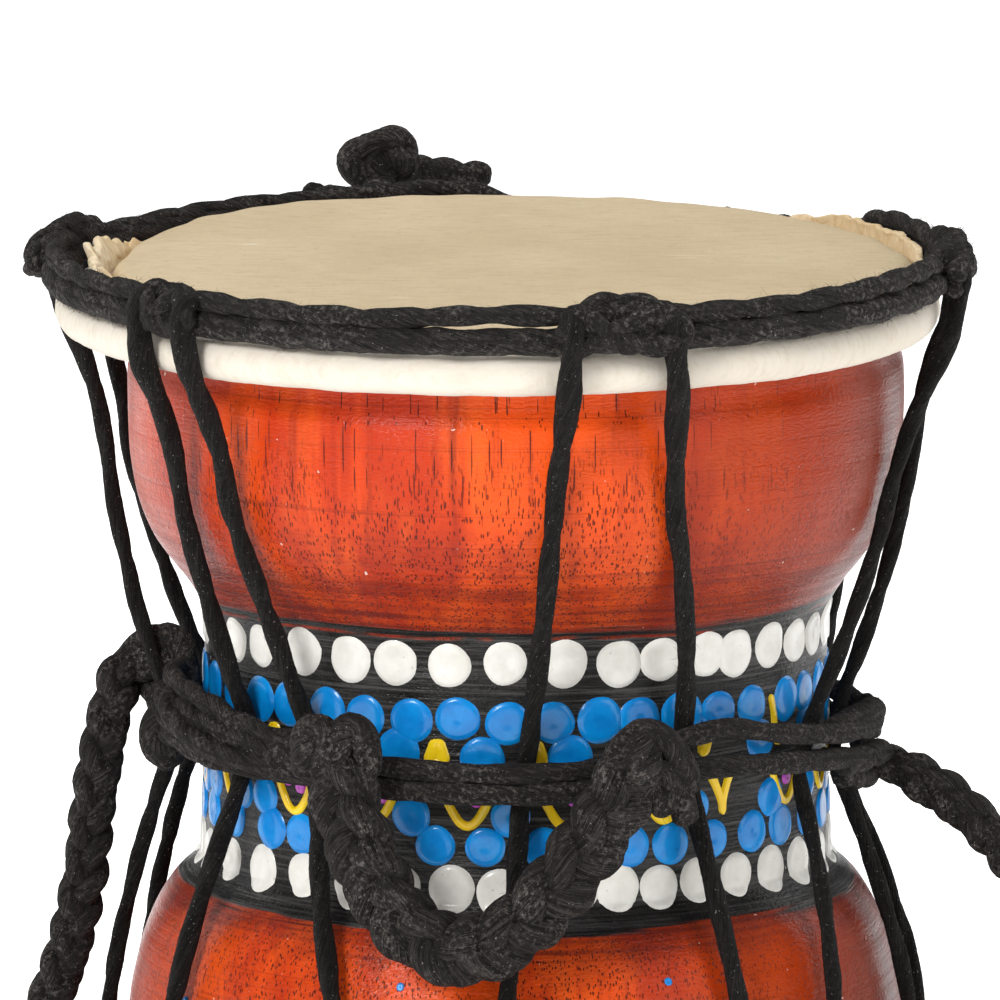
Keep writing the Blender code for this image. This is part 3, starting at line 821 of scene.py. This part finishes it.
def make_skin_edge():
    """The untrimmed, crumpled edge of the skin, standing between the rim and the crown ring."""
    segments, rows = 720, 14
    points = []
    for azimuth in np.arange(segments) * 360 / segments:
        angle = math.radians(azimuth)
        left = math.exp(-((azimuth - 276) / 24) ** 4)
        right = math.exp(-((azimuth - 113) / 22) ** 4)
        tall = 0.6 + (3.5 + 1.3 * ring_noise(angle, 16, 2)) * left
        tall += 2.7 * right
        for row in range(rows):
            share = row / (rows - 1)
            crumple = ring_noise(angle, 13, share * 1.6)
            fold = ring_noise(angle, 34, share * 2.6 + 5)
            fray = ring_noise(angle, 120, share * 5)
            loose = share * (0.2 + 1.25 * left + 0.12 * right)
            radius = 48.3 + 1.0 * left + (0.5 + 1.0 * left) * share + (1.5 * crumple + 0.9 * fold) * loose
            height = 109.9 + tall * share + (1.2 * crumple + 0.9 * fold + 0.7 * fray * share) * loose
            points.append(tilt_rim(polar(radius, azimuth, height)))
    faces = grid_faces(segments, rows, wrap_rows=True, wrap_columns=False)
    edge = mesh_object("crumpled_skin_edge", points, faces, MATERIALS["skin_edge"])
    thicken = edge.modifiers.new("thickness", "SOLIDIFY")
    thicken.thickness, thicken.offset = 0.9 * MM, 0
    edge.modifiers.new("rounded", "SUBSURF").render_levels = 1
    finish_piece(edge)


def make_hoop():
    """Skin rolled over the steel hoop: an oval roll with a slightly uneven lower edge."""
    segments, sides = 420, 22
    points = []
    for azimuth in np.arange(segments) * 360 / segments:
        angle = math.radians(azimuth)
        for side in range(sides):
            around = math.tau * side / sides
            ripple = ring_noise(angle, 11, around * 0.5)
            fine = ring_noise(angle, 60, around * 2)
            swell = 1 + 0.06 * ripple + 0.025 * fine
            radius = HOOP_RADIUS + HOOP_HALF_WIDTH * swell * math.cos(around)
            height = HOOP_HEIGHT + HOOP_HALF_HEIGHT * swell * math.sin(around)
            points.append(tilt_hoop(polar(radius, azimuth, height)))
    faces = grid_faces(segments, sides, wrap_rows=True)
    hoop = mesh_object("rolled_skin_hoop", points, faces, MATERIALS["cream"])
    finish_piece(hoop, ["flesh_hoop"])


# ---------------------------------------------------------------- ropes
def low_point(azimuth, angle, reach):
    turn = math.radians(angle)
    return polar(LOWER_RING_RADIUS + reach * math.cos(turn), azimuth,
                 LOWER_RING_HEIGHT + reach * math.sin(turn))


def make_crown():
    azimuths = np.arange(0, 360, 5)
    lower, upper = [], []
    for azimuth in azimuths:
        aside = crown_aside(azimuth)
        slit = 0.45 * math.exp(-(((azimuth + 180) % 360 - 178) / 9) ** 2)
        wave = 0.16 * math.sin(math.radians(azimuth * 7 + 20))
        lower.append(crown_point(azimuth, -80, 1.15 - 0.75 * crown_closed(azimuth)))
        upper.append(crown_point(azimuth, 82 - 90 * aside, 1.45 + 1.0 * aside - 0.65 * crown_closed(azimuth))
                     + [0, 0, wave + slit])
    lower = strand(spline(lower, ROPE_STEP, True), 1.62, 3.1, plies=3, pitch=24, groove=0.16, lump=0.14,
                   closed=True, sides=22, fuzz=15)
    upper = strand(spline(upper, ROPE_STEP, True), 1.26, 7.7, pitch=15, lump=0.12, closed=True, sides=20,
                   fuzz=11)
    rope_object("crown_ring_rope", [lower, upper], ["crown_ring"])
    ring = [polar(LOWER_RING_RADIUS, azimuth, LOWER_RING_HEIGHT) for azimuth in azimuths]
    ring = strand(spline(ring, ROPE_STEP, True), 1.8, 5.3, plies=3, pitch=22, groove=0.12, closed=True,
                  sides=18, fuzz=6)
    rope_object("lower_ring_rope", [ring], ["lower_ring"])


def knot_strands(rows, **lay):
    """Strands along (route, radius, seed) rows, all laid alike."""
    return [strand(spline(route, KNOT_STEP), radius, seed, **lay) for route, radius, seed in rows]


def make_hitches():
    for number, (middle, left, right, angle, lift, bulk) in enumerate(TOP_HITCHES, 1):
        span = right - left
        hump = [
            (left - 0.14 * span, -14, 2.6), (left, 18, 3.0), (left + 0.18 * span, angle - 18, 2.9),
            (middle - 0.1 * span, angle, lift), (right - 0.28 * span, angle - 10, lift - 0.1),
            (right - 0.08 * span, 38, 3.1), (right + 0.05 * span, 6, 3.3), (right + 0.08 * span, -30, 3.0)]
        bar = [
            (left + 0.06 * span, 52, 2.4), (left + 0.22 * span, 20, 3.1), (middle - 0.06 * span, -14, 3.3),
            (right - 0.24 * span, -30, 3.3), (right - 0.04 * span, -22, 3.5), (right + 0.12 * span, 0, 3.0)]
        cross = [
            (left - 0.16 * span, -38, 2.7), (left + 0.10 * span, -30, 3.1), (middle - 0.1 * span, 4, 3.2),
            (right - 0.30 * span, 36, 3.1), (right - 0.10 * span, 62, 2.6)]
        inside = [
            (left - 0.08 * span, 50, 1.5), (left + 0.2 * span, 66, 2.0), (middle, angle - 20, lift - 1.2),
            (right - 0.2 * span, 62, 2.0), (right + 0.08 * span, 50, 1.5)]
        core = [(left - 0.10 * span, 0, 1.6), (middle, -10, 1.7), (right + 0.10 * span, 0, 1.6)]
        rows = []
        for index, (stops, radius) in enumerate(((hump, 1.34), (bar, 1.42), (cross, 1.25), (inside, 1.75),
                                                 (core, 1.9))):
            route = [crown_point(azimuth, turn, reach * bulk) for azimuth, turn, reach in stops]
            rows.append((route, radius * bulk, number * 2.3 + index * 1.9))
        parts = knot_strands(rows, lump=0.16, sides=18, fuzz=13)
        rope_object(f"crown_hitch_{number}", parts, [f"hitch_top_{number}"])
    for number, (middle, left, right) in enumerate(LOW_HITCHES, 1):
        path = [
            low_point(left, 62, 3.1), low_point(left, 15, 3.2), low_point(left + 1, -35, 3.2),
            low_point(left + 3, -80, 3.2), low_point(middle, -60, 3.3), low_point(right - 3, -80, 3.2),
            low_point(right - 1, -35, 3.2), low_point(right, 15, 3.2), low_point(right, 62, 3.1)]
        parts = [strand(spline(path, ROPE_STEP), 1.35, number * 3.3, pitch=14, fuzz=6)]
        rope_object(f"lower_hitch_{number}", parts, [f"hitch_low_{number}"])


def make_lacing():
    for number, stops in enumerate(LACE_RUNS, 1):
        path = spline(lace_route(*stops), ROPE_STEP)
        sway = np.sin(np.linspace(0, 9 + number % 3, len(path)) + number)[:, None] * 0.12
        turn = math.radians(stops[2])
        path = path + sway * np.array([math.cos(turn), math.sin(turn), 0])
        swell = SLIM_RUNS.get(number, 1) * (1 + 0.26 * np.clip((path[:, 2] - 92) / 12, 0, 1))
        parts = [strand(path, LACE_RADIUS, number * 5.7, pitch=19 + 3.1 * (number % 3), groove=0.26,
                        lump=0.12, sides=20, fuzz=7, swell=swell)]
        rope_object(f"lacing_run_{number}", parts, [f"lace_upper_{number}", f"lace_lower_{number}"],
                    "tight_cotton")


def waist_route(stations):
    return spline([polar(radius, azimuth, height) for azimuth, radius, height in stations], ROPE_STEP)


def make_binding():
    upper = waist_route([
        (-86, 42.2, 60.6), (-70, 42.5, 60.6), (-54, 42.6, 60.4), (-38, 42.8, 59.6), (-22, 42.2, 58.2),
        (-6, 42.2, 57.7), (10, 42.2, 58.0), (22, 42.3, 60.0), (34, 42.4, 61.7), (48, 42.4, 60.0),
        (62, 42.4, 58.6), (74, 42.5, 57.6), (84, 42.7, 56.8), (90, 42.9, 55.4)])
    lower = waist_route([
        (-86, 42.2, 56.8), (-70, 42.6, 57.4), (-54, 42.8, 57.2), (-38, 42.8, 56.6), (-22, 42.3, 55.6),
        (-6, 42.3, 55.3), (10, 42.3, 55.6), (22, 42.4, 56.8), (34, 42.5, 57.4), (48, 42.5, 56.6),
        (62, 42.5, 55.6), (74, 42.6, 54.4), (86, 42.8, 53.0)])
    parts = [strand(upper, 1.28, 21.0, pitch=24, groove=0.2, fuzz=8),
             strand(lower, 1.38, 23.0, pitch=21, groove=0.2, fuzz=8)]
    rope_object("waist_binding_front", parts, ["binding_front_upper", "binding_front_lower"])
    turns = []
    for index, (far, left, near, right, radius) in enumerate(
            ((56.8, 56.2, 56.1, 56.2, 42.2), (59.2, 58.4, 57.7, 57.4, 43.2), (61.6, 60.6, 59.2, 58.5, 43.3),
             (63.6, 62.7, 60.7, 59.6, 42.3))):
        route = [
            (-86, radius - 1.6, far + 0.1), (-75, radius - 0.3, far), (-60, radius, left),
            (-46, radius, near), (-37, radius, right), (-29, radius - 1.0, right - 0.2)]
        turns.append(strand(waist_route(route), 1.32, 31.0 + index * 2.3, pitch=13, groove=0.28, lump=0.12,
                            sides=20, fuzz=11))
    crossing = waist_route([
        (-80, 42.6, 61.8), (-70, 44.2, 61.2), (-60, 44.9, 59.2), (-50, 44.8, 57.6), (-42, 44.0, 57.2),
        (-34, 42.6, 57.4)])
    turns.append(strand(crossing, 1.25, 47.0, pitch=11, groove=0.28, lump=0.12, sides=20, fuzz=12))
    rope_object("waist_binding_left_turns", turns)
    back = [waist_route([(96, 42.4, z), (130, 42.4, z + 0.4), (165, 42.4, z - 0.2), (200, 42.4, z + 0.3),
                         (235, 42.4, z), (262, 42.4, z + 0.6)]) for z in (58.2, 55.4)]
    parts = [strand(path, 1.35, 41.0 + i * 3, pitch=20, fuzz=6) for i, path in enumerate(back)]
    rope_object("waist_binding_back", parts, ["binding_back_upper", "binding_back_lower"])


def overhand(centre, outwards, sideways, size):
    """The route of a drawn-up overhand knot about a centre, flattened towards the drum."""
    up = np.array([0, 0, 1.0])
    route = []
    for t in np.linspace(0, math.tau, 40, endpoint=False):
        swell = 2.0 + 0.85 * math.cos(3 * t)
        across = sideways * swell * math.cos(2 * t) * size[1]
        along = up * swell * math.sin(2 * t) * size[2]
        route.append(centre + across + along + outwards * math.sin(3 * t) * size[0])
    return route


def knot(name, centre, size, radius, seed, nodes):
    """An overhand knot standing on the crown, drawn up round a core."""
    outwards = np.array([centre[0], centre[1], 0])
    outwards /= np.linalg.norm(outwards)
    sideways, up = np.array([-outwards[1], outwards[0], 0]), np.array([0, 0, 1.0])
    centre = np.asarray(centre, float)
    body = spline(overhand(centre, outwards, sideways, size), ROPE_STEP, True)
    core = spline([centre - 2.6 * sideways, centre + 0.4 * up, centre + 2.6 * sideways], KNOT_STEP)
    parts = [strand(body, radius, seed, closed=True, fuzz=10), strand(core, 1.5 * radius, seed + 9, fuzz=8)]
    rope_object(name, parts, nodes)


def make_knots():
    """The strap's two knots and the tie-off at the back, drawn up from thicker soft rope."""
    loop = [
        (-47.2, 2.6, 62.4), (-45.0, 2.0, 65.6), (-41.6, 1.0, 66.6), (-39.8, -1.6, 64.2),
        (-40.4, -4.4, 60.6), (-42.8, -5.6, 57.4), (-43.0, -6.8, 54.6), (-40.4, -9.8, 53.6)]
    lobe = [
        (-45.6, 4.0, 62.0), (-43.8, 1.6, 60.0), (-42.4, -2.0, 57.8), (-41.6, -6.6, 56.4),
        (-40.0, -11.0, 57.0), (-37.8, -16.2, 58.2)]
    behind = [
        (-43.6, 5.4, 62.0), (-42.6, 4.0, 57.6), (-42.0, 1.0, 54.2), (-41.8, -4.0, 53.0),
        (-40.6, -8.6, 54.4)]
    heart = [
        (-46.4, 1.8, 62.0), (-44.2, 0.8, 63.6), (-42.0, -0.4, 63.6), (-41.4, -3.6, 60.6),
        (-41.2, -6.0, 58.4)]
    parts = knot_strands(((loop, 2.0, 51.0), (lobe, 1.55, 53.0), (behind, 1.5, 55.0), (heart, 1.9, 56.0)),
                         pitch=13, groove=0.18, lump=0.12, sides=18, fuzz=12)
    rope_object("left_strap_knot", parts, ["strap_knot_left"])
    wrap = [
        (37.0, -18.6, 58.6), (40.4, -10.4, 58.9), (42.6, -3.6, 58.8), (43.2, 1.6, 57.4), (42.6, 5.6, 54.6),
        (41.6, 8.2, 52.0)]
    bight = [
        (38.0, -18.2, 54.6), (40.8, -11.6, 54.0), (42.9, -5.6, 53.8), (44.0, -1.6, 53.0), (43.4, 0.6, 51.2),
        (41.8, -3.0, 50.6), (40.2, -8.4, 51.4), (38.4, -14.0, 52.8)]
    stub = [(41.0, 1.4, 56.6), (42.2, 0.2, 58.8), (42.8, -1.0, 59.6)]
    parts = knot_strands(((wrap, 1.5, 57.0), (bight, 1.6, 59.0), (stub, 1.05, 60.0)),
                         pitch=12, groove=0.18, lump=0.12, sides=18, fuzz=11)
    rope_object("right_strap_knot", parts, ["strap_knot_right"])
    knot("tie_off_knot_rope", (-17.0, 57.4, 118.9), (1.0, 1.32, 0.98), 2.2, 61.0, ["tie_off_knot"])
    tail = spline([
        (-14.4, 58.0, 118.0), (-11.0, 58.6, 117.8), (-7.8, 58.9, 117.3), (-4.6, 58.6, 116.9),
        (-3.2, 58.2, 116.2)], KNOT_STEP)
    rope_object("tie_off_tail_rope", [strand(tail, 1.85, 67.0, pitch=8, lump=0.16, sides=18, fuzz=10)],
                ["tie_off_tail"])


def make_free_cords():
    strap_centre = spline(STRAP_ROUTE, 0.5)
    standing = np.clip((strap_centre[:, 2:3] - 8) / 16, 0, 1)
    strap_face = standing * [0, -1.0, 0] + (1 - standing) * [0, 0, 1.0]
    braid_centre = spline(BRAID_ROUTE, 0.5)
    braid_face = braid_centre * [1.0, 1.0, 0] + [0, 0, 0.01]
    for name, centre, face, diameter, shape, lay in (
            ("strap", strap_centre, strap_face, STRAP_DIAMETER, (1.32, 0.90, 1.62, 13.4), "loose"),
            ("front_braid", braid_centre, braid_face, BRAID_DIAMETER, (2.30, 1.20, 2.10, 16.0), "hanging")):
        points, faces, uvs = joined(plait(centre, face, *shape, 71.0 + diameter))
        piece = mesh_object(name + "_cord", points, faces, MATERIALS["cotton"], uvs)
        finish_piece(piece, [name])


def make_braid_tops():
    """The rope loops that the braid's two upper ends turn over at the binding."""
    loops = [[(-24.0, -42.0, 57.4), (-24.4, -43.6, 61.4), (-23.2, -44.6, 63.8), (-21.6, -44.8, 62.6),
              (-20.6, -44.6, 58.8)],
             [(-20.8, -44.2, 58.8), (-20.2, -45.0, 62.4), (-18.7, -45.4, 64.0), (-17.2, -45.0, 62.0),
              (-17.0, -44.2, 57.4)],
             [(10.4, -46.8, 57.6), (12.2, -46.6, 61.6), (14.6, -46.0, 63.2), (17.2, -45.0, 62.0),
              (19.2, -43.4, 58.6), (19.8, -42.2, 55.4)],
             [(12.6, -46.8, 55.0), (15.4, -46.0, 58.6), (17.6, -44.6, 57.8), (19.0, -43.0, 54.6),
              (19.6, -41.6, 51.8)],
             [(11.6, -45.4, 60.0), (14.4, -45.2, 57.4), (16.6, -44.4, 55.0), (17.6, -43.6, 53.4)]]
    rows = [(loop, 1.72, 81.0 + 2.9 * index) for index, loop in enumerate(loops)]
    rope_object("front_braid_ends", knot_strands(rows, pitch=11, groove=0.2, lump=0.14, sides=18, fuzz=12))


# ---------------------------------------------------------------- stage
def make_camera():
    elevation, distance = math.radians(8.0), 0.9
    target = Vector(place((-1.9, 0, 83.6)))
    camera_data = bpy.data.cameras.new("camera")
    camera_data.lens, camera_data.sensor_width = 270, 36
    camera_data.clip_end = 50
    camera = bpy.data.objects.new("camera", camera_data)
    bpy.context.collection.objects.link(camera)
    camera.location = target + distance * Vector((0, -math.cos(elevation), math.sin(elevation)))
    camera.rotation_euler = (math.radians(90) - elevation, 0, 0)
    bpy.context.scene.camera = camera


def area_light(name, spot, aim, size, power):
    data = bpy.data.lights.new(name, "AREA")
    data.shape, data.size, data.size_y = "RECTANGLE", size[0], size[1]
    data.energy = power
    lamp = bpy.data.objects.new(name, data)
    bpy.context.collection.objects.link(lamp)
    lamp.location = spot
    lamp.rotation_euler = (Vector(aim) - Vector(spot)).to_track_quat("-Z", "Y").to_euler()


def make_stage():
    reach = 9.0
    floor_mesh = bpy.data.meshes.new("floor")
    floor_mesh.from_pydata([(-reach, -reach, 0), (reach, -reach, 0), (reach, reach, 0),
                            (-reach, reach, 0)], [], [(0, 1, 2, 3)])
    floor_mesh.materials.append(floor_material())
    floor = bpy.data.objects.new("floor", floor_mesh)
    bpy.context.collection.objects.link(floor)
    world = bpy.data.worlds.new("studio")
    world.use_nodes = True
    world.node_tree.nodes["Background"].inputs["Color"].default_value = (1, 1, 1, 1)
    world.node_tree.nodes["Background"].inputs["Strength"].default_value = 0.14
    bpy.context.scene.world = world
    area_light("key", (-0.50, -0.80, 0.62), (0, 0, 0.08), (0.28, 0.32), 7.8)
    area_light("fill", (0.75, -0.62, 0.40), (0, 0, 0.08), (0.5, 0.6), 2.4)
    area_light("top", (0.05, 0.15, 1.15), (0, 0, 0.1), (0.7, 0.5), 5.4)
    area_light("back_left", (-0.85, 0.55, 0.5), (0, 0, 0.08), (0.5, 0.6), 1.5)
    area_light("back_right", (0.85, 0.60, 0.5), (0, 0, 0.08), (0.5, 0.6), 2.0)
    bpy.context.scene.view_settings.view_transform = "Standard"


make_camera()
make_free_cords()
make_braid_tops()
make_shell()
make_paint()
make_head()
make_skin_edge()
make_hoop()
make_crown()
make_hitches()
make_lacing()
make_binding()
make_knots()
make_stage()
